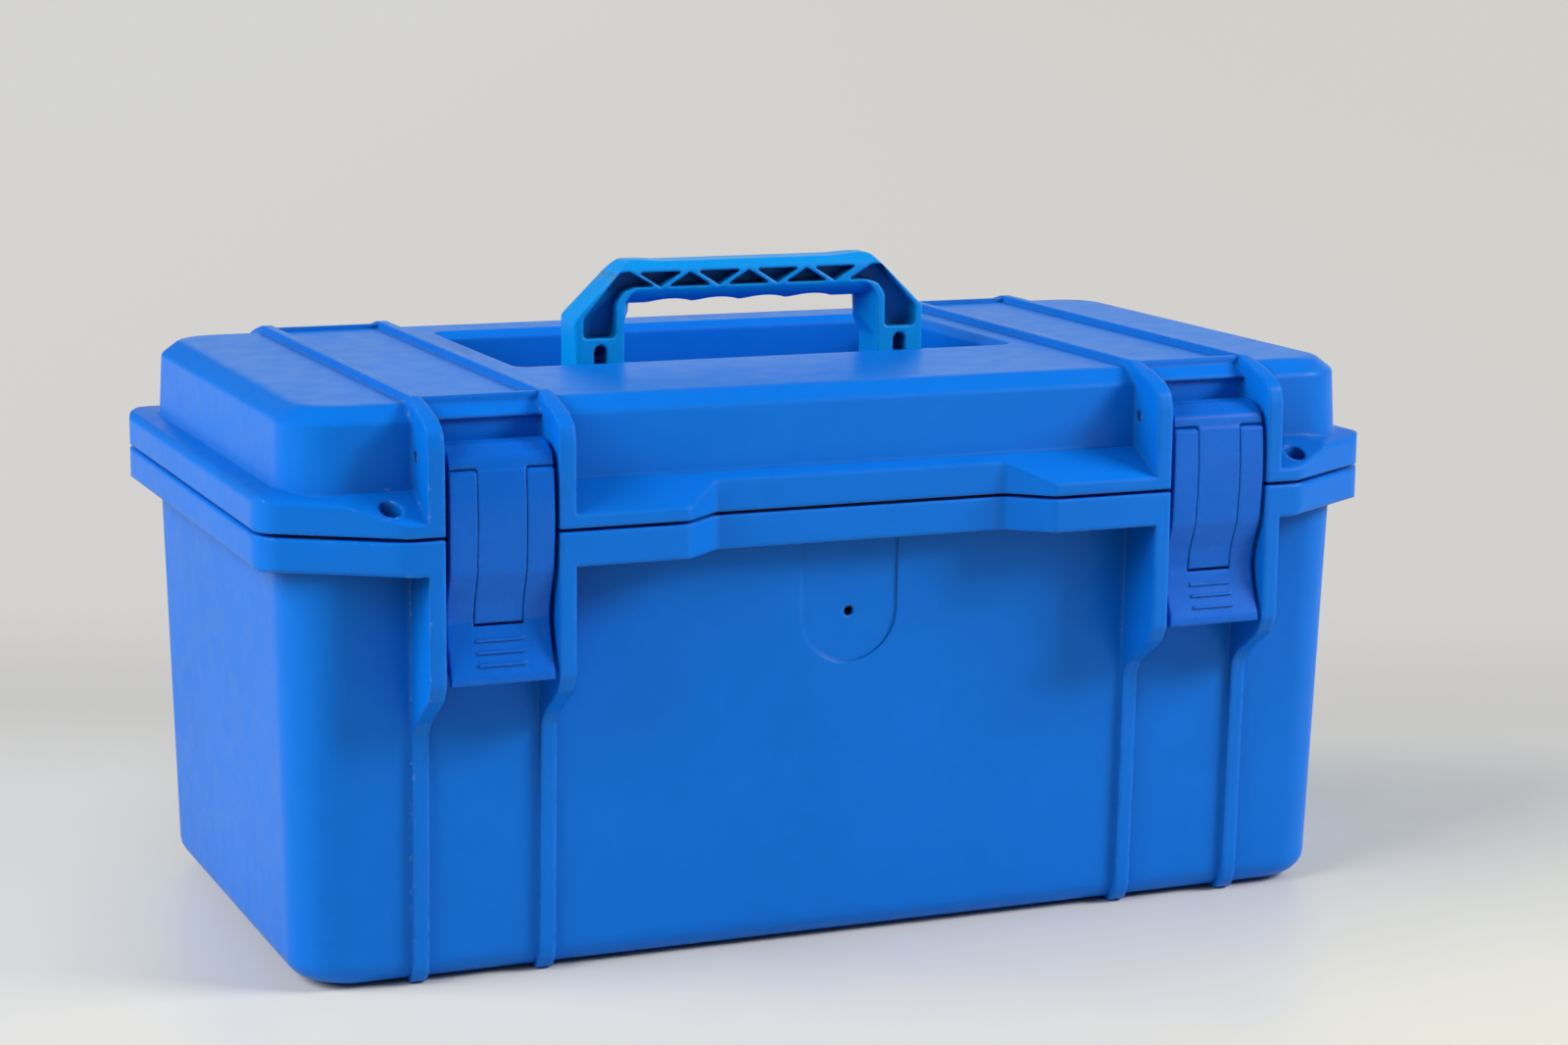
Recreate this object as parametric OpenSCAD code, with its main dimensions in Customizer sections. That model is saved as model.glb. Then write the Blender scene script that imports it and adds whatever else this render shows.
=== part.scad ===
// Hard tool case: drafted tub, lid on two rear hinge pins, two draw latches and a folding handle.
// Millimetres. X runs along the case, the front is -Y, +Z is up. Origin: middle of the base, on the floor.

/* [Case] */
// length over the rim flanges
case_len = 444; // [410:1:480]
// depth from the front cheeks to the rear cheeks
case_depth = 258; // [246:1:270]
// height of the lower face of the lid's rim
parting_z = 168.4; // [166:0.1:180]
// space between the two rim flanges
part_gap = 1.4; // [0.8:0.1:2.5]
// height of the lid from its rim to the flat top
lid_h = 43; // [43:0.2:50]
// wall thickness of tub and lid
wall_t = 3; // [2:0.1:4]
// height of the skids under the base
skid_h = 1.3; // [0.8:0.1:3]

/* [Tub] */
// wall lean, sideways per height
tub_draft = 0.0245; // [0.01:0.0005:0.03]
// how far the rim flange stands out from the tub's ends
tub_side_lip = 8.7; // [6:0.1:10]
// how far the tub's walls stand behind the cheeks' faces, at the rim
tub_wall_in = 22.6; // [21:0.1:24]
// vertical corner radius of the tub
tub_corner_r = 20; // [16:1:24]
// height of the rounding along the tub's bottom edge
base_edge_h = 9; // [5:0.5:11]
// depth of that rounding along the front and the rear
base_edge_r = 8; // [5:0.5:9]
// depth of that rounding at the ends
base_end_r = 11; // [6:0.5:12]
// height of the tub's rim flange
tub_flange_h = 12.3; // [10:0.1:14]
// how far the thin ribs stand out from the tub
thin_rib_h = 2.3; // [1.5:0.1:3]
// height at which the lower cheeks end
cheek_foot_z = 115.5; // [105:0.5:125]

/* [Lid] */
// how far the lid's walls stand behind the cheeks' faces
lid_wall_in = 18.4; // [17.6:0.1:19]
// how far the rim flange stands out from the lid's ends
lid_side_lip = 9.4; // [7:0.1:11]
// vertical corner radius of the lid
lid_corner_r = 23; // [16:1:28]
// width of the bevel round the lid's top
lid_bevel_w = 7.7; // [5:0.1:9]
// height of the bevel round the lid's top
lid_bevel_h = 5; // [4:0.1:6]
// height of the lid's rim flange at the ends
lid_flange_h = 12; // [9:0.1:14]
// height of the lid's rim flange at the front edge
lid_front_h = 4.5; // [3:0.1:6]
// height of the ribs on the lid's top
top_rib_h = 2.5; // [2:0.1:4]
// how much narrower those ribs are at their top, on each side
top_rib_lean = 1; // [0.5:0.1:1.5]
// height of the ridge across each pair of ribs, front
front_ridge_h = 2; // [1:0.1:2.4]
// height of the ridge across each pair of ribs, rear
rear_ridge_h = 1.5; // [1:0.1:2.4]

/* [Rim outline] */
// how far the middle of the front edge stands back
front_step = 13; // [8:0.1:13.4]
// half width of that middle part
front_mid = 57.5; // [40:0.5:64]
// half width where the latch parts of the front edge begin
front_wide = 72.5; // [66:0.5:90]
// distance from the ends where the slanting corners begin
corner_in = 45; // [38:0.5:46]
// how far the slanting corners reach back
corner_back = 27.9; // [20:0.1:36]
// rounding of the rim's lower edge
rim_low_r = 2; // [1:0.1:2.4]
// rounding of the rim's upper edge
rim_high_r = 3.5; // [2:0.1:4]
// overhang of the rear edge beyond the lid wall
rear_lip = 8.4; // [7:0.1:9]
// radius of the padlock holes
padlock_r = 4; // [3:0.1:4.5]
// padlock holes: distance from the ends
padlock_side = 42.6; // [38:0.1:44]
// padlock holes: distance behind the front edge
padlock_in = 8.8; // [8.4:0.1:11]

/* [Cheeks and ribs] */
// distance of each latch from the ends
latch_side = 80.3; // [78:0.1:96]
// space between the two cheeks of a latch
cheek_gap = 41.8; // [41:0.1:46]
// cheek thickness
cheek_t = 5.8; // [4:0.1:7]

/* [Latches] */
// latch width
latch_w = 37.8; // [34:0.1:40]
// width of the tongue
tongue_w = 17.5; // [14:0.1:20]
// side clearance of the tongue in the lever's slot
tongue_gap = 0.4; // [0.3:0.05:0.8]
// latch pin: distance behind the front edge
link_pin_in = 15.5; // [14.5:0.1:16]
// latch pin: height above the lid's rim
link_pin_up = 25.6; // [25:0.1:27]
// lever pin: distance behind the front edge
lever_pin_in = 7.2; // [7:0.1:7.8]
// lever pin: height below the latch pin
lever_pin_down = 9.4; // [9:0.1:10]
// radius of the latch pins
link_pin_r = 2; // [1.5:0.1:2.4]
// radius of the lever pins
lever_pin_r = 1.5; // [1:0.1:1.8]
// radius of the link's hub
link_hub_r = 5; // [4.5:0.1:5.5]
// radius of the lever arms' ends
arm_end_r = 7.5; // [7:0.1:7.8]
// clearance between arm ends and crossbar
arm_gap = 0.7; // [0.4:0.1:1]
// clearance between hook and catch
hook_gap = 0.35; // [0.3:0.05:0.6]
// width of the hook
hook_w = 28; // [20:1:32]
// lean of the hook's face, sideways per height
hook_lean = 0.17; // [0.05:0.01:0.2]
// length of the grip bars
grip_bar_l = 17.5; // [12:0.5:24]
// thickness of the grip bars
grip_bar_t = 1; // [0.8:0.1:2.2]

/* [Rear hinge] */
// hinge axis: distance in front of the rear cheeks' face
hinge_in = 8; // [7.5:0.1:8.5]
// hinge axis: height above the lid's rim
hinge_up = 8; // [7.8:0.1:9]
// radius of the hinge pins
hinge_pin_r = 2; // [1.5:0.1:2.5]
// radius of the knuckle
knuckle_r = 6.2; // [5:0.1:6.5]
// side clearance of the knuckle between the cheeks
knuckle_gap = 0.4; // [0.3:0.1:0.8]

/* [Handle] */
// handle width
handle_w = 147; // [140:1:160]
// handle thickness
handle_t = 18; // [16:0.5:20]
// height of the handle above its pins
handle_rise = 46; // [44:0.1:52]
// height of the handle's pins above the recess floor
handle_pin_up = 9.3; // [9.2:0.1:10]
// radius of the handle's pins
handle_pin_r = 2; // [1.5:0.1:2.5]
// width of each leg at its face
leg_w = 20.1; // [18:0.1:22]
// how far the rounded inner side stands in from the leg's face, at the grip
leg_round = 5.9; // [4:0.1:8]
// how far it stands in at the foot
foot_round = 3.6; // [2:0.1:5]
// how far the rounded grip stands below the truss
grip_round = 6.3; // [6:0.1:8]
// depth of the pockets in each face
pocket_d = 7.5; // [5:0.1:7.6]
// width of the slot in each foot
foot_slot_w = 5.7; // [5:0.1:7]
// side clearance of the lug in that slot
lug_gap = 0.35; // [0.3:0.05:0.6]
// radius of the lug round the handle's pin
lug_r = 7; // [6:0.1:7.2]
// slope of the truss bars is set by this pitch
truss_pitch = 24.5; // [22:0.1:26]
// thickness of the truss bars
truss_t = 1.9; // [1.6:0.1:3]
// how far the truss sits left of the handle's middle
truss_shift = 1.7; // [0:0.1:4]
// distance between the finger scallops
finger_pitch = 19.8; // [18:0.1:22]
// how far the scallops sit left of the handle's middle
finger_shift = 2.9; // [0:0.1:4]

/* [Handle recess] */
// distance of the recess's ends from the latch ribs
recess_side = 14; // [10:0.5:30]
// front edge of the recess, in front of the pins
recess_front = 26.7; // [16:0.1:32]
// rear edge of the recess, behind the pins
recess_rear = 78; // [60:0.5:84]
// depth of the recess
recess_d = 19.2; // [19:0.1:22]
// bevel round the recess
recess_bevel = 3; // [1:0.5:4]

/* [Front panel] */
// half width of the round-ended panel
panel_r = 19.2; // [12:0.1:24]
// depth of the panel
panel_d = 0.7; // [0.4:0.1:1.2]
// height of the panel's hole
panel_hole_z = 125.8; // [118:0.1:135]
// radius of the panel's hole
panel_hole_r = 1.9; // [1:0.1:3]

/* [Seal] */
// width of the seal
seal_w = 2.5; // [2:0.1:3]
// distance of the seal's outer side behind the latch notches
seal_in = 1.7; // [1.2:0.1:2]
// depth of the seal's groove
groove_d = 2.6; // [2:0.1:3]

/* [Hidden] */
eps = 0.01;
press_gap = 0.02;
run_gap = 0.06;
half_len = case_len / 2;
front_y = -case_depth / 2;
rear_y = case_depth / 2;
tub_top = parting_z - part_gap;
tub_flange_z = tub_top - tub_flange_h;
tub_half_depth = rear_y - tub_wall_in;
lid_half_depth = rear_y - lid_wall_in;
flange_rear = lid_half_depth + rear_lip;
lid_top = parting_z + lid_h;
lid_half_len = half_len - lid_side_lip;
lid_draft = 0.043;
wall_foot_z = parting_z + 14;
bevel_z = lid_top - lid_bevel_h;
rib_top = lid_top + top_rib_h;
slope = 0.535;
front_mid_y = front_y + front_step;
notch_y = front_y + 14.4;
rear_notch_y = rear_y - 15.4;
latch_x = half_len - latch_side;
padlock_x = half_len - padlock_side;
front_end = half_len - corner_in;
pin_a = [front_y + link_pin_in, parting_z + link_pin_up];
pin_b = [front_y + lever_pin_in, pin_a.y - lever_pin_down];
hinge = [rear_y - hinge_in, parting_z + hinge_up];
floor_z = lid_top - recess_d;
pivot_z = floor_z + handle_pin_up;
handle_top = pivot_z + handle_rise;
handle_half = handle_w / 2;
leg_in = handle_half - leg_w;
half_t = handle_t / 2;
lug_x = handle_half - 10.45;
lug_w = foot_slot_w - 2 * lug_gap;
cheek_x = cheek_gap / 2 + cheek_t / 2;
recess_half = latch_x - cheek_gap / 2 - cheek_t - recess_side;
pin_len = cheek_gap + 2 * cheek_t;
hole_y = front_y + padlock_in;
blue = [0.08, 0.36, 0.78];
mid_blue = [0.12, 0.42, 0.85];
dark = [0.08, 0.08, 0.09];
steel = [0.62, 0.64, 0.67];

// ---------- drawing helpers ----------
function unit(v) = v / norm(v);
function bend(a, b) = ((b - a + 540) % 360) - 180;
function arc_at(c, r, a, s, n) = [for (i = [0:n]) c + r * [cos(a + s * i / n), sin(a + s * i / n)]];
function dir(v) = atan2(v.y, v.x);
function corner(a, b, c, r, n) =
  let (u = unit(a - b), w = unit(c - b), h = acos(u * w) / 2, m = b + unit(u + w) * (r / sin(h)))
  let (p = b + u * (r / tan(h)), q = b + w * (r / tan(h)), s = dir(p - m))
  arc_at(m, r, s, bend(s, dir(q - m)), n);
function at(p, i) = p[(i + len(p)) % len(p)];
function rounded(p, n) =
  [for (i = [0:len(p) - 1])
    each (p[i].z > 0
      ? corner(xy(at(p, i - 1)), xy(p[i]), xy(at(p, i + 1)), p[i].z, n)
      : [xy(p[i])])];
function xy(p) = [p.x, p.y];
function flip(p) = [for (i = [len(p) - 1:-1:0]) [-p[i].x, p[i].y, p[i].z]];

// draws a side view (Y across, Z up) between two X positions
module along_x(x0, x1) {
  translate([x0, 0, 0])
    rotate([90, 0, 90])
      linear_extrude(x1 - x0)
        children();
}

// draws a front view (X across, Z up) between two Y positions
module along_y(y0, y1) {
  translate([0, y1, 0])
    rotate([90, 0, 0])
      linear_extrude(y1 - y0)
        children();
}

module both() {
  children();
  mirror([1, 0, 0])
    children();
}

module rod(r, x0, x1, y, z) {
  translate([x0, y, z])
    rotate([0, 90, 0])
      cylinder(r = r, h = x1 - x0, $fn = 48);
}

// a pin whose ends carry a small chamfer
module pin(r, x0, x1, y, z) {
  c = 0.3;
  translate([x0, y, z])
    rotate([90, 0, 90])
      rotate_extrude($fn = 48)
        polygon([[0, 0], [r - c, 0], [r, c], [r, x1 - x0 - c], [r - c, x1 - x0], [0, x1 - x0]]);
}

module round_rect(hx, hy, r) {
  square([2 * (hx - r), 2 * hy], center = true);
  square([2 * hx, 2 * (hy - r)], center = true);
  for (sx = [-1, 1])
    for (sy = [-1, 1])
      translate([sx * (hx - r), sy * (hy - r)])
        circle(r = r, $fn = 64);
}

module slab(z, hx, hy, r) {
  translate([0, 0, z])
    linear_extrude(eps)
      round_rect(hx, hy, r);
}

// ---------- rim outline shared by tub and lid ----------
function half_rim() = [
  [front_mid, front_mid_y, 3],
  [front_wide, front_y, 3],
  [front_end, front_y, 12],
  [half_len, front_y + corner_back, 16],
  [half_len, flange_rear, 18]];

module rim_outline() {
  polygon(rounded(concat(half_rim(), flip(half_rim())), 8));
}

// the rim is cut back between the front cheeks for the latches
module latch_notches() {
  both()
    translate([latch_x - cheek_gap / 2, front_y - 1])
      square([cheek_gap, notch_y - front_y + 1]);
}

// the lid's rim is cut back between the rear cheeks for the hinge knuckles
module knuckle_notches() {
  both()
    translate([latch_x - cheek_gap / 2, rear_notch_y])
      square([cheek_gap, 40]);
}

module tub_rim_plan() {
  difference() {
    rim_outline();
    latch_notches();
  }
}

// rounds the rim's long edges along its ends and its slanting corners
module soft_rim(z0, z1, low, high) {
  side = [[0, z0, low], [2 * case_len, z0, 0], [2 * case_len, z1, 0], [0, z1, high]];
  intersection() {
    along_y(front_y - 1, rear_y + 1)
      polygon(rounded([
        [half_len, z0, low],
        [half_len, z1, high],
        [-half_len, z1, high],
        [-half_len, z0, low]], 6));
    for_each_corner()
      along_x(-2 * case_len, 2 * case_len)
        polygon(rounded(side, 6));
  }
}

module for_each_corner() {
  intersection() {
    at_corner()
      children();
    mirror([1, 0, 0])
      at_corner()
        children();
  }
}

module at_corner() {
  translate([front_end, front_y, 0])
    rotate([0, 0, atan2(corner_back, corner_in)])
      children();
}

module at_cheeks() {
  both()
    for (s = [-1, 1])
      translate([latch_x + s * cheek_x, 0, 0])
        children();
}

// ---------- body_tub ----------
function tub_hx(z) = half_len - tub_side_lip - tub_draft * (tub_top - z);
function tub_hy(z) = tub_half_depth - tub_draft * (tub_top - z);

module tub_level(z, in_x, in_y, r) {
  slab(z, tub_hx(z) - in_x, tub_hy(z) - in_y, r);
}

// the bottom edge is a quarter ellipse; t is the wall's thickness for the inner shape
module tub_shape(t, top) {
  h = base_edge_h - t;
  hull() {
    for (a = [0:15:90])
      tub_level(skid_h + t + h * (1 - cos(a)),
        t + (base_end_r - t) * (1 - sin(a)),
        t + (base_edge_r - t) * (1 - sin(a)),
        tub_corner_r - t - 6 * (1 - sin(a)));
    tub_level(top, t, t, tub_corner_r - t);
  }
}

module tub_solid() {
  tub_shape(0, tub_top - eps);
}

module tub_cavity() {
  tub_shape(wall_t, tub_top + 1);
}

// side view of one rib: cheeks under the rim, thin rib down the wall, skid under the base
function rib_face(z) = -tub_hy(z) - thin_rib_h;
function half_tub_rib() = [
  [front_y, tub_top, 0],
  [front_y, cheek_foot_z, 3],
  [front_y + 3, cheek_foot_z - 5.9, 4],
  [front_y + 18.5, cheek_foot_z - 17, 6],
  [rib_face(cheek_foot_z - 22), cheek_foot_z - 22, 6],
  [rib_face(9), base_edge_h, 0],
  [rib_face(9) + 0.7, base_edge_h - 3.6, 0],
  [rib_face(9) + 2.4, base_edge_h - 6.4, 0],
  [rib_face(9) + 5, base_edge_h - 8.4, 0],
  [rib_face(9) + 7.6, 0, 0]];

module tub_ribs() {
  at_cheeks()
    along_x(-cheek_t / 2, cheek_t / 2)
      polygon(rounded(concat(half_tub_rib(), flip(half_tub_rib())), 5));
}

module tub_rim() {
  intersection() {
    translate([0, 0, tub_flange_z])
      linear_extrude(tub_flange_h)
        tub_rim_plan();
    soft_rim(tub_flange_z, tub_top, rim_low_r, 0.8);
  }
}

// the rim is a hollow lip: open below, with the cheeks and padlock bosses running through it
module rim_channel() {
  difference() {
    translate([0, 0, tub_flange_z - 1])
      linear_extrude(tub_flange_h + 1 - wall_t)
        offset(delta = -wall_t)
          tub_rim_plan();
    tub_solid();
    tub_ribs();
    knuckle_blocks();
    both()
      translate([padlock_x, hole_y, tub_flange_z - 2])
        cylinder(r = padlock_r + 3, h = tub_flange_h + 4, $fn = 48);
  }
}

function knuckle_side() = [
  [rear_notch_y - 8, tub_flange_z - 4],
  [flange_rear, tub_flange_z - 4],
  [hinge.x + knuckle_r, tub_flange_z + 6],
  [hinge.x + knuckle_r, hinge.y],
  [hinge.x - knuckle_r, hinge.y],
  [hinge.x - knuckle_r, tub_top - 2],
  [rear_notch_y - 8, tub_top - 2]];

module knuckle_blocks() {
  w = cheek_gap / 2 - knuckle_gap;
  both() {
    along_x(latch_x - w, latch_x + w)
      polygon(knuckle_side());
    rod(knuckle_r, latch_x - w, latch_x + w, hinge.x, hinge.y);
    along_x(latch_x - cheek_gap / 2 - 1, latch_x + cheek_gap / 2 + 1)
      polygon([for (p = knuckle_side()) [p.x, min(p.y, tub_top - 2)]]);
  }
}

// the catch under each hook: a block whose outer face leans out as it rises
catch_low = cheek_foot_z + 3.5;
catch_high = cheek_foot_z + 18.5;
hook_z = cheek_foot_z + 5.5;
hook_y = front_y + 20;
function hook_face(z) = hook_y - hook_lean * (z - hook_z);
function catch_face(z) = hook_face(z) + hook_gap;

module catch_blocks() {
  both()
    along_x(latch_x - hook_w / 2 - 1, latch_x + hook_w / 2 + 1)
      polygon([
        [-tub_hy(catch_low) + 1, catch_low - 4],
        [catch_face(catch_low), catch_low],
        [catch_face(catch_high), catch_high],
        [-tub_hy(catch_high) + 1, catch_high + 5]]);
}

// round-ended panel sunk into the front wall under the rim
module panel_cut() {
  intersection() {
    along_y(front_y, 0) {
      translate([0, panel_hole_z])
        circle(r = panel_r, $fn = 96);
      translate([-panel_r, panel_hole_z])
        square([2 * panel_r, tub_flange_z - panel_hole_z]);
    }
    along_x(-panel_r - 1, panel_r + 1)
      polygon([
        [front_y, 60],
        [-tub_hy(60) + panel_d, 60],
        [-tub_hy(tub_top) + panel_d, tub_top],
        [front_y, tub_top]]);
  }
}

module body_tub() {
  color(blue)
    difference() {
      union() {
        difference() {
          union() {
            tub_solid();
            tub_rim();
            tub_ribs();
          }
          rim_channel();
        }
        knuckle_blocks();
        catch_blocks();
      }
      tub_cavity();
      panel_cut();
      translate([0, -tub_hy(panel_hole_z) + 10, panel_hole_z])
        rotate([90, 0, 0])
          cylinder(r = panel_hole_r, h = 20, $fn = 48);
      both()
        translate([padlock_x, hole_y, tub_flange_z - 1])
          cylinder(r = padlock_r, h = tub_flange_h + 2, $fn = 64);
      both()
        rod(hinge_pin_r + run_gap, latch_x - cheek_gap, latch_x + cheek_gap, hinge.x, hinge.y);
    }
}

// ---------- lid_shell ----------
function lid_hx(z) = lid_half_len - lid_draft * (z - wall_foot_z);
function lid_hy(z) = lid_half_depth - lid_draft * (z - wall_foot_z);

module lid_level(z, inset, r) {
  slab(z, lid_hx(min(z, bevel_z)) - inset, lid_hy(min(z, bevel_z)) - inset, r);
}

module lid_solid() {
  w = lid_bevel_w;
  hull() {
    lid_level(parting_z, 0, lid_corner_r);
    lid_level(bevel_z - 1.2, 0, lid_corner_r);
    lid_level(bevel_z - 0.3, 0.25, lid_corner_r);
    lid_level(bevel_z + 0.6, 1.1, lid_corner_r);
    lid_level(lid_top - 0.9, w - 1.5, lid_corner_r - 7);
    lid_level(lid_top - 0.35, w - 0.2, lid_corner_r - 8);
    lid_level(lid_top - 0.1, w + 0.9, lid_corner_r - 8);
    lid_level(lid_top - eps, w + 2, lid_corner_r - 9);
  }
}

module lid_cavity() {
  w = lid_bevel_w + wall_t;
  hull() {
    lid_level(parting_z - 1, wall_t, lid_corner_r - 3);
    lid_level(bevel_z - 1.6, wall_t, lid_corner_r - 3);
    lid_level(lid_top - wall_t - eps, w + 1, lid_corner_r - 9);
  }
}

// the rim's upper face slopes up from its front edge and, gently, from its ends to the wall
module lid_rim() {
  z0 = parting_z;
  end_z = z0 + lid_flange_h;
  front_z = z0 + lid_front_h;
  wall_z = front_z + slope * (-lid_half_depth - front_y);
  intersection() {
    translate([0, 0, z0])
      linear_extrude(20)
        difference() {
          rim_outline();
          latch_notches();
          knuckle_notches();
        }
    along_x(-half_len, half_len)
      polygon(rounded([
        [front_y, z0, 0],
        [flange_rear, z0, 0.8],
        [flange_rear, end_z, rim_high_r],
        [lid_half_depth, wall_foot_z, 0],
        [-lid_half_depth, wall_z, 0],
        [front_y, front_z, 0.8]], 6));
    along_y(front_y, rear_y)
      polygon(rounded([
        [-half_len, z0, 0.8],
        [half_len, z0, 0.8],
        [half_len, end_z, rim_high_r],
        [lid_half_len, wall_foot_z, 0],
        [-lid_half_len, wall_foot_z, 0],
        [-half_len, end_z, rim_high_r]], 6));
    for_each_corner()
      along_x(-2 * case_len, 2 * case_len)
        polygon(rounded([
          [0, z0, 0.8],
          [2 * case_len, z0, 0],
          [2 * case_len, end_z + 9, 0],
          [corner_in / 3, end_z + 4, 0],
          [0, end_z - 1, 2.5]], 6));
  }
}

// side view of one lid rib with its front and rear cheeks
function lid_rib_front() = [
  [front_y + 26, rib_top, 6],
  [front_y + 17, rib_top - 2.4, 10],
  [front_y + 6.4, rib_top - 6.1, 6],
  [front_y + 1.5, rib_top - 9.4, 4],
  [front_y, rib_top - 14.9, 4],
  [front_y, parting_z, 0]];
function lid_rib_rear() = [
  [rear_y, rib_top - 14.9, 4],
  [rear_y - 1.5, rib_top - 9.4, 4],
  [rear_y - 6.4, rib_top - 6.1, 6],
  [rear_y - 17, rib_top - 2.4, 10],
  [rear_y - 26, rib_top, 6]];

module lid_ribs() {
  h = cheek_t / 2;
  at_cheeks()
    intersection() {
      along_x(-h, h)
        polygon(rounded(concat(
          lid_rib_front(),
          [for (p = arc_at(hinge, hinge_in, -90, 90, 12)) [p.x, p.y, 0]],
          lid_rib_rear()), 5));
      along_y(front_y - 1, rear_y + 1)
        polygon([
          [-h, parting_z],
          [h, parting_z],
          [h, lid_top - 1],
          [h - top_rib_lean, rib_top],
          [top_rib_lean - h, rib_top],
          [-h, lid_top - 1]]);
    }
}

// low ridges that join each pair of ribs at the front and the rear of the top
module cross_ridge(y, h) {
  both()
    translate([latch_x - cheek_gap / 2 - 1.5, y, lid_top - 1])
      cube([cheek_gap + 3, 3, h + 1]);
}

module cross_ridges() {
  cross_ridge(front_y + 26, front_ridge_h);
  cross_ridge(rear_y - 29, rear_ridge_h);
}

module recess_plan(grow) {
  w = 2 * recess_half + 2 * grow;
  d = recess_front + recess_rear + 2 * grow;
  r = 3 + grow;
  translate([0, (recess_rear - recess_front) / 2])
    round_rect(w / 2, d / 2, r);
}

module recess_box() {
  translate([0, 0, floor_z - wall_t])
    linear_extrude(recess_d + wall_t - 1)
      recess_plan(wall_t);
}

module recess_cut() {
  translate([0, 0, floor_z])
    linear_extrude(recess_d + 1)
      recess_plan(0);
  hull() {
    translate([0, 0, lid_top - recess_bevel])
      linear_extrude(eps)
        recess_plan(0);
    translate([0, 0, lid_top])
      linear_extrude(eps)
        recess_plan(recess_bevel);
  }
}

// lug between the prongs of a handle foot: its front stops the upright handle from falling forward
module handle_lugs() {
  both() {
    along_x(lug_x - lug_w / 2, lug_x + lug_w / 2)
      translate([-lug_r, floor_z - 1])
        square([2 * lug_r, handle_pin_up + 1]);
    rod(lug_r, lug_x - lug_w / 2, lug_x + lug_w / 2, 0, pivot_z);
  }
}

// the wall between the upper cheeks is set back behind the latch's hub and thickened inside
module hub_backs() {
  both()
    translate([latch_x - cheek_gap / 2 - 1, pin_a.x + 4, pin_a.y - 10])
      cube([cheek_gap + 2, 5, bevel_z + 2 - pin_a.y + 10]);
}

module hub_recesses() {
  both()
    translate([latch_x - cheek_gap / 2, front_y - 1, pin_a.y - 8])
      cube([cheek_gap, link_pin_in + 7, bevel_z - 0.3 - pin_a.y + 8]);
}

module gasket_ring(grow) {
  hy = -notch_y - seal_in - seal_w / 2;
  hx = lid_half_len + 0.9;
  h = seal_w / 2 + grow;
  difference() {
    round_rect(hx + h, hy + h, lid_corner_r + h);
    round_rect(hx - h, hy - h, lid_corner_r - h);
  }
}

module lid_shell() {
  color(blue)
    difference() {
      union() {
        difference() {
          union() {
            lid_solid();
            lid_rim();
            lid_ribs();
            cross_ridges();
          }
          difference() {
            lid_cavity();
            recess_box();
            hub_backs();
          }
          recess_cut();
        }
        handle_lugs();
      }
      hub_recesses();
      translate([0, 0, parting_z - 1])
        linear_extrude(groove_d + 1)
          gasket_ring(0.05);
      both() {
        translate([padlock_x, hole_y, parting_z - 1])
          cylinder(r = padlock_r, h = 20, $fn = 64);
        rod(link_pin_r + press_gap, latch_x - cheek_gap, latch_x + cheek_gap, pin_a.x, pin_a.y);
        rod(hinge_pin_r + press_gap, latch_x - cheek_gap, latch_x + cheek_gap, hinge.x, hinge.y);
        rod(handle_pin_r + press_gap, lug_x - 8, lug_x + 8, 0, pivot_z);
      }
    }
}

module lid_gasket() {
  color(dark)
    translate([0, 0, tub_top + 0.05])
      linear_extrude(part_gap + groove_d - 0.1)
        gasket_ring(0);
}

// ---------- carry_handle ----------
shoulder_x = handle_half - 22.9;
shoulder_z = handle_rise - 22.2;
grip_face_z = handle_rise - 10.9;
foot_slot_top = 14;
foot_slot_low = 8;

function half_handle() = [
  [handle_half, -half_t, 0],
  [handle_half, shoulder_z, 4],
  [shoulder_x, handle_rise, 4],
  [handle_half - 27, handle_rise, 8],
  [handle_half - 37, handle_rise - 0.85, 30]];

module handle_outline() {
  p = [for (q = half_handle()) [q.x, q.y + pivot_z, q.z]];
  polygon(rounded(concat(p, flip(p)), 6));
}

// the shoulder's slope, used to round its edges
module shoulder_prism() {
  a = atan2(handle_rise - shoulder_z, handle_half - shoulder_x);
  translate([shoulder_x, 0, handle_top])
    rotate([0, a, 0])
      along_x(-300, 300)
        translate([0, -300])
          soft_bar(half_t, 300, 5);
}

module soft_bar(hy, top, r) {
  polygon(rounded([[-hy, 0, 0], [hy, 0, 0], [hy, top, r], [-hy, top, r]], 8));
}

// window at the faces, then the rounded inner side of legs and grip
module window_face() {
  z = pivot_z + grip_face_z;
  polygon(rounded([[-leg_in, 0, 0], [leg_in, 0, 0], [leg_in, z, 8.5], [-leg_in, z, 8.5]], 10));
}

function bulge(h, d) = let (r = (h * h + d * d) / (2 * d), a = asin(h / r))
  arc_at([0, r - d], r, -90 - a, 2 * a, 16);

// the legs' rounded inner sides lean, so that they stand in less at the foot
module leg_bulge() {
  drop = grip_face_z + half_t;
  h = half_t - 0.05;
  translate([leg_in, 0, pivot_z + grip_face_z])
    rotate([0, -atan2(leg_round - foot_round, drop), 0])
      translate([0, 0, -drop - 2])
        linear_extrude(drop + 4)
          rotate(-90)
            polygon(rounded([
              [h, 0, 0],
              [h, 4, 0],
              [-h, 4, 0],
              [-h, -leg_round / 2, 2.5],
              [-3, -leg_round - 1.1, 7]], 8));
}

module inner_round() {
  z = pivot_z + grip_face_z;
  difference() {
    union() {
      along_x(-leg_in - 1, leg_in + 1)
        translate([0, z])
          polygon(concat(bulge(half_t, grip_round), [[half_t, 2], [-half_t, 2]]));
      both()
        leg_bulge();
    }
    for (i = [-1.5:1:1.5])
      translate([i * finger_pitch - finger_shift, half_t + 1, z - grip_round + 1.7 - 29])
        rotate([90, 0, 0])
          cylinder(r = 29, h = handle_t + 2, $fn = 128);
  }
}

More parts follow.
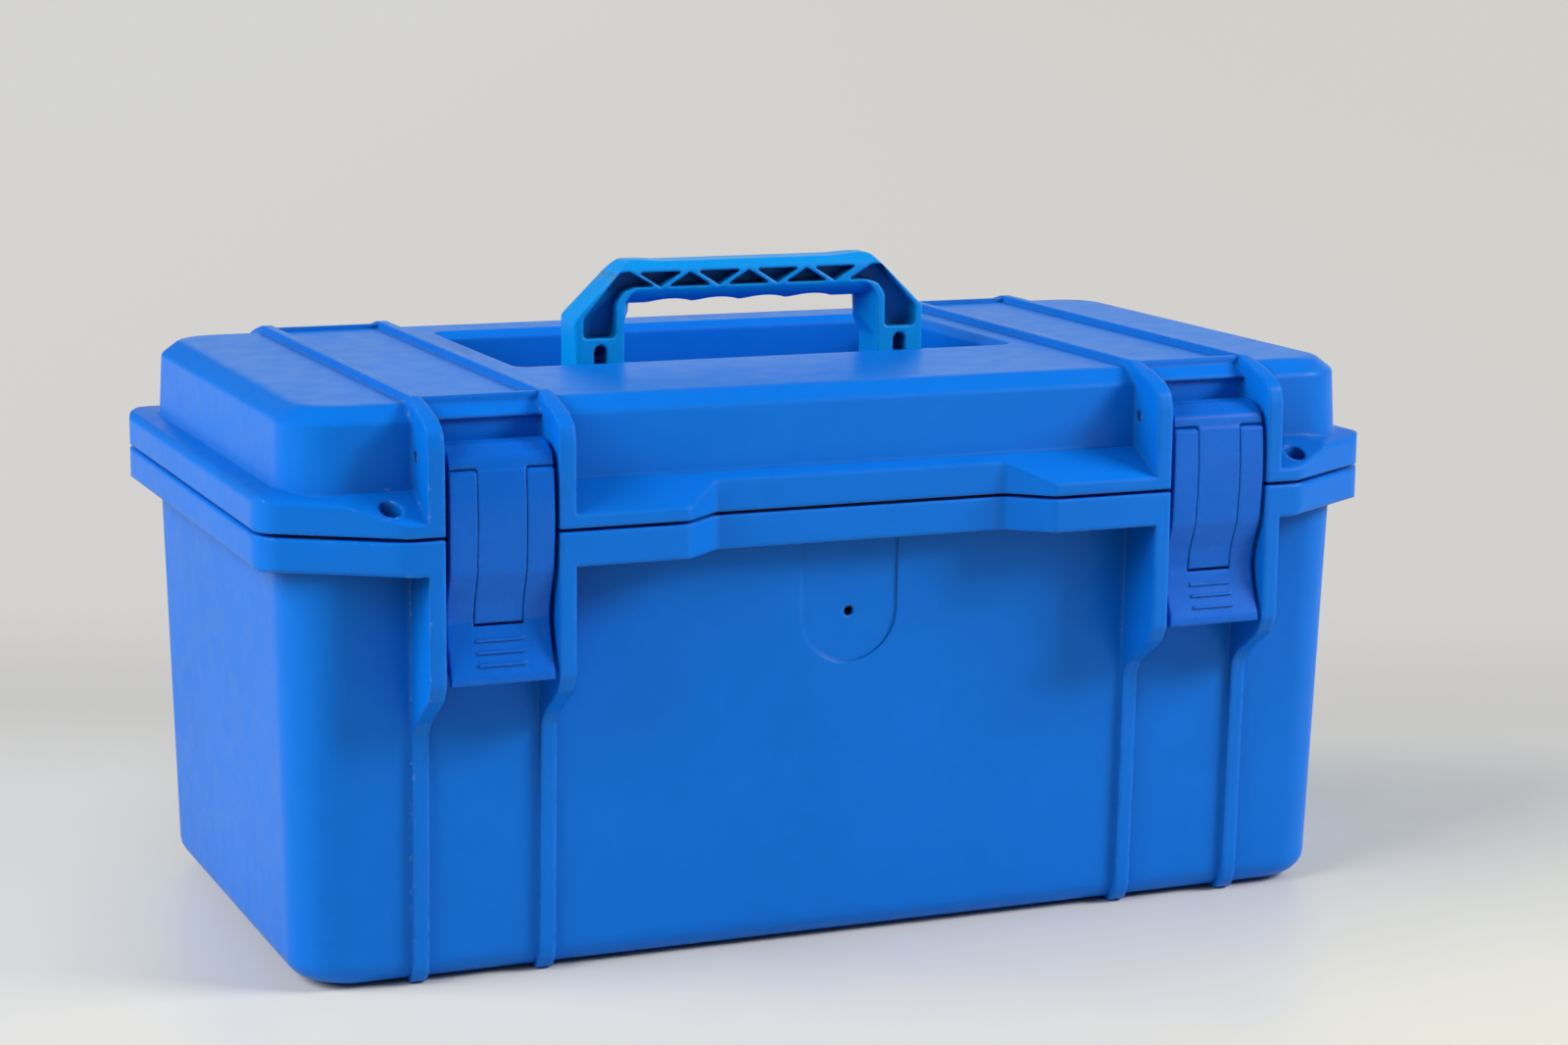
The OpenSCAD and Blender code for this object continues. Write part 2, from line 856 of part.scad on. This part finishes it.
// one triangular pocket of the truss: its flat side up or down
module truss_cell(x, up) {
  h = 5.9;
  w = truss_pitch / 2 - truss_t * 1.45;
  z0 = pivot_z + grip_face_z + 0.4;
  flat = up > 0 ? z0 + h : z0;
  tip = up > 0 ? z0 : z0 + h - 0.2;
  polygon(rounded([[x - w, flat, 0.5], [x + w, flat, 0.5], [x, tip, 0.3]], 4));
}

module end_pocket() {
  z = pivot_z;
  polygon(rounded([
    [handle_half - 3.4, z + 16.5, 2],
    [handle_half - 3.4, z + shoulder_z + 0.6, 4],
    [handle_half - 18.4, z + handle_rise - 4.3, 4],
    [handle_half - 22.6, z + handle_rise - 4.3, 1.5],
    [handle_half - 33.4, z + grip_face_z + 0.5, 0.5],
    [handle_half - 25, z + grip_face_z + 0.5, 0],
    [handle_half - 20, z + grip_face_z - 1, 4],
    [handle_half - 17, z + grip_face_z - 5.6, 5],
    [handle_half - 17, z + 16.5, 2]], 5));
}

module face_pockets() {
  for (i = [-1.5:1:1.5])
    truss_cell(i * truss_pitch - truss_shift, 1);
  for (i = [-1:1:1])
    truss_cell(i * truss_pitch - truss_shift, -1);
  both()
    end_pocket();
}

// slot for the lug: open below and behind, shut in front below its window by a bridge that meets the lug
module foot_slots() {
  w = foot_slot_w;
  both() {
    translate([lug_x - w / 2, -lug_r - 0.3, pivot_z - half_t - 1])
      cube([w, handle_t, half_t + 1 + foot_slot_low]);
    along_y(-half_t - 1, half_t - 4.5)
      translate([lug_x, pivot_z]) {
        translate([0, foot_slot_top - w / 2])
          circle(r = w / 2, $fn = 48);
        translate([-w / 2, foot_slot_low - 3])
          square([w, 3 + foot_slot_top - w / 2 - foot_slot_low]);
      }
  }
}

module carry_handle() {
  color(mid_blue)
    difference() {
      intersection() {
        union() {
          along_y(-half_t, half_t)
            difference() {
              handle_outline();
              window_face();
            }
          inner_round();
        }
        along_x(-handle_half, handle_half)
          soft_bar(half_t, handle_top, 6);
        translate([0, 0, pivot_z - 20])
          linear_extrude(80)
            round_rect(handle_half, half_t, 2);
        both()
          shoulder_prism();
        union() {
          rod(half_t, -handle_half, handle_half, 0, pivot_z);
          translate([-handle_half, -half_t, pivot_z])
            cube([handle_w, handle_t, 60]);
        }
      }
      along_y(-half_t - 1, -half_t + pocket_d)
        face_pockets();
      along_y(half_t - pocket_d, half_t + 1)
        face_pockets();
      foot_slots();
      both()
        rod(handle_pin_r + run_gap, lug_x - 8.2, lug_x + 8.2, 0, pivot_z);
    }
}

module handle_pin() {
  color(steel)
    pin(handle_pin_r, lug_x - 7.8, lug_x + 7.8, 0, pivot_z);
}

// ---------- latches, drawn for the right-hand side and mirrored for the left ----------
// outer face shared by tongue and lever, from the top down
function latch_face() = [
  [front_y + 1.4, pin_a.y - 4.2, 0],
  [front_y + 0.6, pin_a.y - 14, 20],
  [front_y + 0.4, pin_a.y - 20, 20],
  [front_y + 0.6, pin_a.y - 28, 20],
  [front_y + 1.6, pin_a.y - 40.2, 8],
  [front_y + 5.5, pin_a.y - 50.6, 6],
  [front_y + 6.7, pin_a.y - 57.4, 8],
  [front_y + 5.2, pin_a.y - 64.6, 8]];

function back_y() = front_y + 6.4;

module link_side() {
  difference() {
    polygon(rounded([
      [pin_a.x, pin_a.y + link_hub_r - 0.1, 0],
      [front_y + 8.8, pin_a.y + 4.7, 9],
      [front_y + 3, pin_a.y + 0.9, 4.5],
      [front_y + 2, pin_a.y - 3.6, 0],
      [front_y + 8, pin_a.y - 4.5, 0],
      [pin_a.x, pin_a.y - link_hub_r + 0.1, 0]], 5));
    translate(pin_a)
      circle(r = link_pin_r + run_gap, $fn = 48);
  }
  difference() {
    translate(pin_a)
      circle(r = link_hub_r, $fn = 64);
    translate(pin_a)
      circle(r = link_pin_r + run_gap, $fn = 48);
  }
}

tongue_end = pin_a.y - 58.4;
module tongue_side() {
  f = [for (p = latch_face()) if (p.y > tongue_end + 2) p];
  difference() {
    union() {
      polygon(rounded(concat(
        [[front_y + 2, pin_a.y - 3, 0]], f,
        [
          [front_y + 6.5, tongue_end, 0],
          [front_y + 9.6, tongue_end, 0],
          [front_y + 9.6, pin_a.y - 45, 2],
          [back_y(), pin_a.y - 39, 4],
          [back_y(), pin_b.y - 6, 4],
          [pin_b.x + 4.3, pin_b.y - 2, 0],
          [pin_a.x + 1, pin_a.y - 4.5, 0]]), 5));
      translate(pin_b)
        circle(r = 4.3, $fn = 48);
    }
    translate(pin_b)
      circle(r = lever_pin_r + press_gap, $fn = 48);
    translate(pin_a)
      circle(r = link_pin_r + run_gap, $fn = 48);
  }
}

module latch_link() {
  arm = tongue_w / 2 + tongue_gap;
  color(mid_blue) {
    difference() {
      along_x(latch_x - latch_w / 2, latch_x + latch_w / 2)
        link_side();
      for (s = [-1, 1])
        rod(arm_end_r + arm_gap, latch_x + s * (arm + 15) - 15, latch_x + s * (arm + 15) + 15,
          pin_b.x, pin_b.y);
    }
    along_x(latch_x - tongue_w / 2, latch_x + tongue_w / 2)
      tongue_side();
  }
}

module lever_side() {
  difference() {
    intersection() {
      union() {
        polygon(rounded(concat(
          [[front_y + 1.2, pin_b.y + 12, 0]], latch_face(),
          [
            [front_y + 0.6, cheek_foot_z + 2.3, 2],
            [front_y + 0.4, cheek_foot_z - 0.6, 0.6],
            [front_y + 3.2, cheek_foot_z - 0.6, 0.6],
            [front_y + 3.9, cheek_foot_z + 2.2, 0],
            [front_y + 10.4, cheek_foot_z + 6.5, 2],
            [front_y + 10.4, pin_a.y - 46, 2],
            [back_y(), pin_a.y - 41, 3],
            [back_y(), pin_b.y + 12, 0]]), 5));
        translate(pin_b)
          circle(r = 4.4, $fn = 48);
      }
      union() {
        translate(pin_b)
          circle(r = arm_end_r, $fn = 96);
        translate([front_y - 5, cheek_foot_z - 5])
          square([40, pin_b.y - cheek_foot_z + 5]);
      }
    }
    translate(pin_b)
      circle(r = lever_pin_r + run_gap, $fn = 48);
  }
}

function hook_inner(z) = hook_face(z) - 3.6;
module hook_side() {
  top = hook_z + 11;
  polygon(rounded([
    [front_y + 8, cheek_foot_z + 2.5, 0],
    [hook_y - 0.2, cheek_foot_z + 2.5, 0.8],
    [hook_face(hook_z), hook_z, 0],
    [hook_face(top), top, 0.8],
    [hook_inner(top), top, 1.2],
    [hook_inner(hook_z), hook_z + 0.6, 1.5],
    [front_y + 8, hook_z + 0.6, 0]], 4));
}

module grip_bar(z, y, tilt) {
  translate([latch_x, y, z])
    rotate([90 + tilt, 0, 0])
      linear_extrude(1.3, center = true) {
        square([grip_bar_l - grip_bar_t, grip_bar_t], center = true);
        for (s = [-1, 1])
          translate([s * (grip_bar_l - grip_bar_t) / 2, 0])
            circle(r = grip_bar_t / 2, $fn = 24);
      }
}

module latch_lever() {
  slot = tongue_w / 2 + tongue_gap;
  color(mid_blue) {
    difference() {
      along_x(latch_x - latch_w / 2, latch_x + latch_w / 2)
        lever_side();
      translate([latch_x - slot, front_y - 5, tongue_end - 1])
        cube([2 * slot, 40, 80]);
    }
    along_x(latch_x - hook_w / 2, latch_x + hook_w / 2)
      hook_side();
    for (s = [-1, 1])
      along_x(latch_x + s * (hook_w / 2 - 1.25) - 1.25, latch_x + s * (hook_w / 2 - 1.25) + 1.25)
        polygon([
          [front_y + 9, cheek_foot_z + 3],
          [hook_inner(hook_z) + 1, cheek_foot_z + 3],
          [hook_inner(hook_z + 8), hook_z + 8],
          [front_y + 9, hook_z + 18]]);
    for (z = [5.9, 10.1, 14.1])
      grip_bar(cheek_foot_z + z, front_y + 0.6 + (z - 2.3) * 0.4, -22);
  }
}

module latch_pin() {
  color(steel)
    pin(link_pin_r, latch_x - pin_len / 2, latch_x + pin_len / 2, pin_a.x, pin_a.y);
}

module lever_pin() {
  color(steel)
    pin(lever_pin_r, latch_x - latch_w / 2 + 0.4, latch_x + latch_w / 2 - 0.4, pin_b.x, pin_b.y);
}

module hinge_pin() {
  color(steel)
    pin(hinge_pin_r, latch_x - pin_len / 2, latch_x + pin_len / 2, hinge.x, hinge.y);
}

module latch_link_right() { latch_link(); }
module latch_link_left() { mirror([1, 0, 0]) latch_link(); }
module latch_lever_right() { latch_lever(); }
module latch_lever_left() { mirror([1, 0, 0]) latch_lever(); }
module latch_pin_right() { latch_pin(); }
module latch_pin_left() { mirror([1, 0, 0]) latch_pin(); }
module lever_pin_right() { lever_pin(); }
module lever_pin_left() { mirror([1, 0, 0]) lever_pin(); }
module handle_pin_right() { handle_pin(); }
module handle_pin_left() { mirror([1, 0, 0]) handle_pin(); }
module hinge_pin_right() { hinge_pin(); }
module hinge_pin_left() { mirror([1, 0, 0]) hinge_pin(); }

body_tub();
lid_shell();
lid_gasket();
carry_handle();
latch_link_left();
latch_link_right();
latch_lever_left();
latch_lever_right();
latch_pin_left();
latch_pin_right();
lever_pin_left();
lever_pin_right();
handle_pin_left();
handle_pin_right();
hinge_pin_left();
hinge_pin_right();
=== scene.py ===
import math

import bpy
from mathutils import Matrix, Vector

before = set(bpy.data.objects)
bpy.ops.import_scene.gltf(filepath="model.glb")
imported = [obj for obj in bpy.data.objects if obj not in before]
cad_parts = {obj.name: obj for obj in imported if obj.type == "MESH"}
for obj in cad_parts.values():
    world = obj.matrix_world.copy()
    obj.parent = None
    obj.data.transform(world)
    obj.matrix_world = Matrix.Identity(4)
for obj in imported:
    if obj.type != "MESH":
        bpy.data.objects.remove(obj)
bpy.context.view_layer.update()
scene = bpy.context.scene
scene.view_settings.view_transform = "Standard"

# ---------------------------------------------------------------------------
# The viewpoint: a long lens on a stand, a good metre in front of the case and a
# little to its left, looking slightly down. Solved from the case's straight edges.
stand = Vector((-0.50048, -1.22956, 0.38669))
yaw, pitch, roll = math.radians(22.856), math.radians(10.491), math.radians(-0.528)
film_width_mm, lens_mm = 36.0, 77.97
nearest, farthest = 0.05, 60.0

camera_data = bpy.data.cameras.new("viewpoint")
camera_data.sensor_width = film_width_mm
camera_data.lens = lens_mm
camera_data.clip_start, camera_data.clip_end = nearest, farthest
camera = bpy.data.objects.new("viewpoint", camera_data)
scene.collection.objects.link(camera)
ahead = Vector((math.sin(yaw) * math.cos(pitch), math.cos(yaw) * math.cos(pitch), -math.sin(pitch)))
level = Vector((math.cos(yaw), -math.sin(yaw), 0.0))
below = ahead.cross(level)
across = level * math.cos(roll) + below * math.sin(roll)
upward = level * math.sin(roll) - below * math.cos(roll)
camera.matrix_world = Matrix((
    (across.x, upward.x, -ahead.x, stand.x),
    (across.y, upward.y, -ahead.y, stand.y),
    (across.z, upward.z, -ahead.z, stand.z),
    (0.0, 0.0, 0.0, 1.0)))
scene.camera = camera

# ---------------------------------------------------------------------------
# The table: one flat sheet of off-white board, which takes the case's shadow. Behind the
# case and to its left it gives the even tones of a pale wall and of board in full light,
# which only the eye and reflections see.
reach = 14.0
table_mesh = bpy.data.meshes.new("table")
corners = [(-reach, -reach, 0), (reach, -reach, 0), (reach, reach, 0), (-reach, reach, 0)]
table_mesh.from_pydata(corners, [], [(0, 1, 2, 3)])
table = bpy.data.objects.new("table", table_mesh)
scene.collection.objects.link(table)


class Shade:
    """One output in a material's node tree. Sums and products of shades add their Math nodes."""

    def __init__(self, tree, out=None):
        self.tree = tree
        self.out = out

    def node(self, kind, settings=None, inputs=None, out=0):
        """Adds a node with those settings, fills or links its sockets, and gives one of its outputs."""
        made = self.tree.nodes.new("ShaderNode" + kind)
        for name, value in (settings or {}).items():
            setattr(made, name, value)
        for name, value in (inputs or {}).items():
            if isinstance(value, Shade):
                self.tree.links.new(value.out, made.inputs[name])
            else:
                made.inputs[name].default_value = value
        return Shade(self.tree, made.outputs[out]) if made.outputs else None

    def maths(self, operation, *values):
        return self.node("Math", {"operation": operation}, dict(enumerate(values)))

    def __add__(self, other):
        return self.maths("ADD", self, other)

    __radd__ = __add__

    def __mul__(self, other):
        return self.maths("MULTIPLY", self, other)

    __rmul__ = __mul__

    def __sub__(self, other):
        return self.maths("SUBTRACT", self, other)

    def __rsub__(self, other):
        return self.maths("SUBTRACT", other, self)

    def between(self, low, high, start=0.0, end=1.0):
        """The value's way from low to high, clamped and eased, as start to end."""
        ends = {"Value": self, "From Min": low, "From Max": high, "To Min": start, "To Max": end}
        return self.node("MapRange", {"interpolation_type": "SMOOTHSTEP"}, ends)

    def tint(self, first, second):
        """A colour that is first where the value is 0 and second where it is 1."""
        # The Mix node names its sockets for colours and for numbers alike, so these go by place.
        share, first_colour, second_colour, mixed_colour = 0, 6, 7, 2
        mix = {share: self, first_colour: first, second_colour: second}
        return self.node("Mix", {"data_type": "RGBA"}, mix, out=mixed_colour)

    def noise(self, where, size, detail=2.0, rough=0.5):
        """Cloudy noise whose blotches are about that size in metres."""
        clouds = {"Vector": where, "Scale": 1.0 / size, "Detail": detail, "Roughness": rough}
        return self.node("TexNoise", {}, clouds)


def new_material(name):
    """An empty material, and the shade that its nodes start from."""
    made = bpy.data.materials.new(name)
    made.use_nodes = True
    made.node_tree.nodes.clear()
    return made, Shade(made.node_tree)


def finish_surface(shade, inputs, second=None, share=None):
    """Ends a material in one surface, or in two where share says how much of the second shows."""
    surface = shade.node("BsdfPrincipled", {}, inputs)
    if second:
        other = shade.node("BsdfPrincipled", {}, second)
        surface = shade.node("MixShader", {}, {0: share, 1: surface, 2: other})
    shade.node("OutputMaterial", {}, {"Surface": surface})


# The span that most values of a noise lie in.
most_of_noise = (0.3, 0.7)
# The board itself: its colour near the viewpoint and farther back, and its crumples.
board_front, board_back = (0.73, 0.705, 0.62, 1), (0.64, 0.635, 0.635, 1)
board_change = (-0.30, 0.20)
board_sheen = 0.3
board_roughness = (0.34, 0.44)
crumple_size = 0.05
# The even tones: board in full light in front and beside the case, the foot of the wall,
# and the wall's left and right sides.
lit_front, lit_beside = (0.78, 0.79, 0.81, 1), (0.69, 0.70, 0.71, 1)
wall_foot = (0.575, 0.572, 0.562, 1)
wall_left, wall_right = (0.665, 0.660, 0.655, 1), (0.650, 0.630, 0.600, 1)
# Where one tone gives way to the next: metres behind the case's middle, and to its right.
lit_change = (-0.35, 0.05)
wall_begins = (0.10, 0.27)
wall_rises = (0.24, 0.55)
wall_width = (-1.3, 1.3)
even_behind = (0.12, 0.27)
even_on_left = (-0.16, -0.29)
# On the left the board itself still shows a little, and its shadow with it.
left_share = 0.8
black = (0, 0, 0, 1)

board, shade = new_material("off_white_board")
where = shade.node("TexCoord", {}, {}, out="Object")
east = shade.node("SeparateXYZ", {}, {0: where}, out="X")
north = shade.node("SeparateXYZ", {}, {0: where}, out="Y")
depth = east * math.sin(yaw) + north * math.cos(yaw)
sideways = east * math.cos(yaw) - north * math.sin(yaw)
seen = (shade.node("LightPath", {}, {}, out="Is Camera Ray")
        + shade.node("LightPath", {}, {}, out="Is Glossy Ray")
        + shade.node("LightPath", {}, {}, out="Is Transmission Ray"))
board_colour = depth.between(*board_change).tint(board_front, board_back)
wall_side = sideways.between(*wall_width).tint(wall_left, wall_right)
wall = depth.between(*wall_rises).tint(wall_foot, wall_side)
lit_board = depth.between(*lit_change).tint(lit_front, lit_beside)
even_tone = depth.between(*wall_begins).tint(lit_board, wall)
left_of_case = sideways.between(*even_on_left) * left_share
even_share = shade.maths("MAXIMUM", depth.between(*even_behind), left_of_case)
crumple = shade.noise(where, crumple_size, detail=3.0)
finish_surface(shade, {
    "Base Color": board_colour,
    "Roughness": crumple.between(*most_of_noise, *board_roughness),
    "Specular IOR Level": board_sheen}, {
    "Base Color": black,
    "Specular IOR Level": 0.0,
    "Emission Color": even_tone,
    "Emission Strength": 1.0}, even_share * seen)
table_mesh.materials.append(board)

# ---------------------------------------------------------------------------
# The light: a broad window high on the left, a smaller one in front on the right, and a
# faintly green panel behind that only glances off the case's top. The room itself is dim.
room_colour, room_strength = (0.99, 0.99, 1.0, 1), 0.13
plain_white, faint_green = (1.0, 1.0, 1.0), (0.86, 1.0, 0.80)
case_middle = (0, 0, 0.1)
case_top = (0, 0, 0.25)
right_latch = (0.14, -0.12, 0.15)

surroundings = bpy.data.worlds.new("pale_room")
surroundings.use_nodes = True
surroundings.node_tree.nodes.clear()
air = Shade(surroundings.node_tree)
room = air.node("Background", {}, {"Color": room_colour, "Strength": room_strength})
air.node("OutputWorld", {}, {"Surface": room})
scene.world = surroundings


def soft_window(name, place, aim, width, height, watts, colour=plain_white):
    """A glowing rectangle in metres, turned to face the point that it is aimed at."""
    data = bpy.data.lights.new(name, "AREA")
    data.shape = "RECTANGLE"
    data.color = colour
    data.size = width
    data.size_y = height
    data.energy = watts
    lamp = bpy.data.objects.new(name, data)
    lamp.location = place
    lamp.rotation_euler = (Vector(aim) - Vector(place)).to_track_quat("-Z", "Y").to_euler()
    scene.collection.objects.link(lamp)
    return lamp


# The left window is so soft that it leaves no sheen of its own on the plastic.
left_window = soft_window("window_left", place=(-2.1, -0.25, 1.5), aim=case_middle,
                          width=2.2, height=1.6, watts=74)
left_window.visible_glossy = False
soft_window("window_right", place=(1.8, -1.1, 1.4), aim=case_middle, width=1.0, height=0.8, watts=52)
# The panel behind gives light and sheen but isn't seen itself.
panel_behind = soft_window("wall_behind", place=(1.5, 2.2, 0.75), aim=case_top,
                           width=3.4, height=1.5, watts=10, colour=faint_green)
panel_behind.visible_camera = False
# A tall pale card low in front on the right: it shows only as the sheen on what faces it.
card = soft_window("card_right", place=(1.05, -1.45, 0.35), aim=right_latch,
                   width=0.6, height=0.9, watts=2.4)
card.visible_diffuse = False

# ---------------------------------------------------------------------------
# The tub and the lid: injection-moulded polypropylene, blue right through, with a finely spark-eroded
# skin, edges paler partly from rubbing and partly as a painted highlight, painted shade in the nooks,
# and a few specks of white dust.

# In metres: clouds in the colour, streaks where the plastic flowed, the skin's grain and
# knocks on the edges.
cloud_size, flow_size, grain_size, knock_size = 0.075, 0.011, 0.0011, 0.0034
# How much of the uneven colour is clouds and how much is streaks, where in its noise a
# streak turns from dark to pale, and how much of the skin is grain and how much slow waves.
cloud_part, flow_part, flow_span = 0.7, 0.3, (0.35, 0.65)
grain_part, wave_part = 0.85, 0.15
# The body colour is dimmed or raised by these: in nooks as painted shade, in dark and pale clouds, and
# where an edge is rubbed, which is partly wear and partly a painted highlight and leaves a trace of
# white as well.
painted_nook_shade, dark_tone, pale_tone, rubbed_highlit_tone, rubbed_highlit_white = 0.50, 0.95, 1.03, 1.22, 0.010
# Painted shade in nooks: how near the walls of a nook are, in metres, and the share of open air
# round it at which the painted shade is darkest and at which the colour is full.
painted_shade_reach, painted_shade_span = 0.040, (0.05, 0.95)
# An edge is where the rounded normal turns from the flat one: the cosines of the turn
# where it begins and where it is full.
edge_turn = (0.985, 0.80)
# Rubbing, partly wear and partly a painted highlight, comes in patches and spares no edge altogether.
rubbed_highlit_patches, least_rubbed_highlit = (0.25, 0.6), 0.45
# The deepest knocks whiten an edge, and at the left end of the case lesser ones as well.
# The left end begins and is full so many metres from the middle.
deep_knocks, lesser_knocks, lesser_share = (0.66, 0.76), (0.58, 0.64), 0.6
left_end_span = (-0.13, -0.20)
# A speck of dust lies in some of these cells: cells in a metre, the part of them that is
# empty, and how far a speck reaches, in cells.
dust_cells, dust_empty, speck_span = 42.0, (0.93, 0.95), (0.020, 0.012)
# How strongly scuffs and dust show, and their colour.
scuff_strength, dust_strength = 0.55, 0.6
scuffed_white = (0.55, 0.66, 0.80, 1)
# The skin shines a little more or less along the streaks, and more on rubbed edges.
smoother, rougher, edge_polish = 0.03, 0.04, 0.06
skin_bump = 0.5
polypropylene_ior = 1.49
edge_samples, painted_shade_samples = 6, 8


def moulded_blue(name, body_colour, rough, sheen, grain, edge_radius, wear_and_highlight):
    """Moulded plastic of that colour. Its grain's height and its edges' radius are in metres."""

    def body(tone, white=0.0):
        return tuple(min(1.0, part * tone + white) for part in body_colour) + (1,)

    made, shade = new_material(name)
    where = shade.node("TexCoord", {}, {}, out="Object")
    facing = shade.node("NewGeometry", {}, {}, out="Normal")
    rounded = shade.node("Bevel", {"samples": edge_samples}, {"Radius": edge_radius})
    turn = shade.node("VectorMath", {"operation": "DOT_PRODUCT"}, {0: rounded, 1: facing}, out="Value")
    edge = turn.between(*edge_turn)
    cloud = shade.noise(where, cloud_size, detail=3.0)
    flow = shade.noise(where, flow_size, detail=3.0, rough=0.6)
    fine = shade.noise(where, grain_size, detail=2.0, rough=0.6)
    knocks = shade.noise(where, knock_size, detail=4.0, rough=0.7)

    cells = {"Vector": where, "Scale": dust_cells, "Randomness": 1.0}
    from_speck = shade.node("TexVoronoi", {"feature": "F1"}, cells, out="Distance")
    cell_colour = shade.node("TexVoronoi", {"feature": "F1"}, cells, out="Color")
    dusty_cell = shade.node("SeparateColor", {}, {0: cell_colour}).between(*dust_empty)
    dust = from_speck.between(*speck_span) * dusty_cell

    left_end = shade.node("SeparateXYZ", {}, {0: where}, out="X").between(*left_end_span)
    left_knocks = left_end * knocks.between(*lesser_knocks) * lesser_share
    scuff = edge * (knocks.between(*deep_knocks) + left_knocks)
    # Edges are painted paler, partly as wear and partly as a painted highlight.
    rubbed_highlit = edge * wear_and_highlight * flow.between(*rubbed_highlit_patches, least_rubbed_highlit, 1.0)
    # Painted shade: the body colour darkens where walls close in, as in nooks and between parts.
    painted_shade_ao = shade.node("AmbientOcclusion", {"samples": painted_shade_samples, "only_local": True},
                          {"Distance": painted_shade_reach}, out="AO")

    uneven = cloud.between(*most_of_noise) * cloud_part + flow.between(*flow_span) * flow_part
    colour = uneven.tint(body(dark_tone), body(pale_tone))
    colour = rubbed_highlit.tint(colour, body(rubbed_highlit_tone, rubbed_highlit_white))
    colour = painted_shade_ao.between(*painted_shade_span).tint(body(painted_nook_shade), colour)
    colour = (scuff * scuff_strength + dust * dust_strength).tint(colour, scuffed_white)
    skin = {"Strength": skin_bump, "Distance": grain, "Normal": rounded,
            "Height": fine * grain_part + flow * wave_part}
    streaked = flow.between(*most_of_noise, rough - smoother, rough + rougher)
    finish_surface(shade, {
        "Base Color": colour,
        "Roughness": streaked - edge * edge_polish,
        "Specular IOR Level": sheen,
        "IOR": polypropylene_ior,
        "Normal": shade.node("Bump", {}, skin)})
    return made


def give_finish(node, material):
    """Puts the material on a carried-over part, whose shape stays as it is."""
    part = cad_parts[node]
    part.data.materials.clear()
    part.data.materials.append(material)


shell_blue = moulded_blue("shell_blue", body_colour=(0.002, 0.162, 0.690), rough=0.35, sheen=0.12,
                          grain=0.00006, edge_radius=0.0024, wear_and_highlight=1.0)
give_finish("body_tub", shell_blue)
give_finish("lid_shell", shell_blue)

# ---------------------------------------------------------------------------
# The seal: a cord of black sponge rubber pressed into a groove in the lid's rim.
# Only its edge shows, as the dark line between the two rims.
sponge_cell, cell_depth, cell_bump = 0.0008, 0.0002, 0.6
rubber_dark, rubber_pale = (0.010, 0.010, 0.012, 1), (0.028, 0.028, 0.032, 1)
rubber_roughness = (0.75, 0.92)

sponge, shade = new_material("black_sponge")
where = shade.node("TexCoord", {}, {}, out="Object")
cells = shade.noise(where, sponge_cell, detail=3.0, rough=0.6)
pores = {"Strength": cell_bump, "Distance": cell_depth, "Height": cells}
finish_surface(shade, {
    "Base Color": cells.tint(rubber_dark, rubber_pale),
    "Roughness": cells.between(*most_of_noise, *rubber_roughness),
    "Normal": shade.node("Bump", {}, pores)})
give_finish("lid_gasket", sponge)

# ---------------------------------------------------------------------------
# The handle: moulded in one piece in a slightly paler and glossier blue, cored out on
# both faces with a truss of thin bars, and scalloped under the grip.
handle_blue = moulded_blue("handle_blue", body_colour=(0.001, 0.275, 0.750), rough=0.34, sheen=0.14,
                           grain=0.00005, edge_radius=0.0018, wear_and_highlight=0.8)
give_finish("carry_handle", handle_blue)

# ---------------------------------------------------------------------------
# The latches: link and lever moulded in a deeper, smoother blue that hands have
# rubbed until it shines.
latch_blue = moulded_blue("latch_blue", body_colour=(0.002, 0.122, 0.610), rough=0.26, sheen=0.18,
                          grain=0.00003, edge_radius=0.0014, wear_and_highlight=0.6)
for side in ("left", "right"):
    give_finish("latch_link_" + side, latch_blue)
    give_finish("latch_lever_" + side, latch_blue)

# ---------------------------------------------------------------------------
# The pins: short lengths of drawn steel wire with bevelled ends, dulled and
# faintly streaked along their length.
streak_width, streak_depth, streak_bump = 0.0004, 0.00003, 0.3
drawn_out = (0.08, 1.0, 1.0)
steel_dark, steel_pale = (0.46, 0.47, 0.49, 1), (0.60, 0.61, 0.63, 1)
steel_roughness = (0.28, 0.42)

wire, shade = new_material("drawn_steel")
where = shade.node("TexCoord", {}, {}, out="Object")
stretched = shade.node("Mapping", {}, {"Vector": where, "Scale": drawn_out})
streak = shade.noise(stretched, streak_width, detail=3.0, rough=0.6)
grooves = {"Strength": streak_bump, "Distance": streak_depth, "Height": streak}
finish_surface(shade, {
    "Base Color": streak.tint(steel_dark, steel_pale),
    "Metallic": 1.0,
    "Roughness": streak.between(*most_of_noise, *steel_roughness),
    "Normal": shade.node("Bump", {}, grooves)})
for part in ("latch_pin", "lever_pin", "handle_pin", "hinge_pin"):
    for side in ("left", "right"):
        give_finish(part + "_" + side, wire)

bpy.context.view_layer.update()
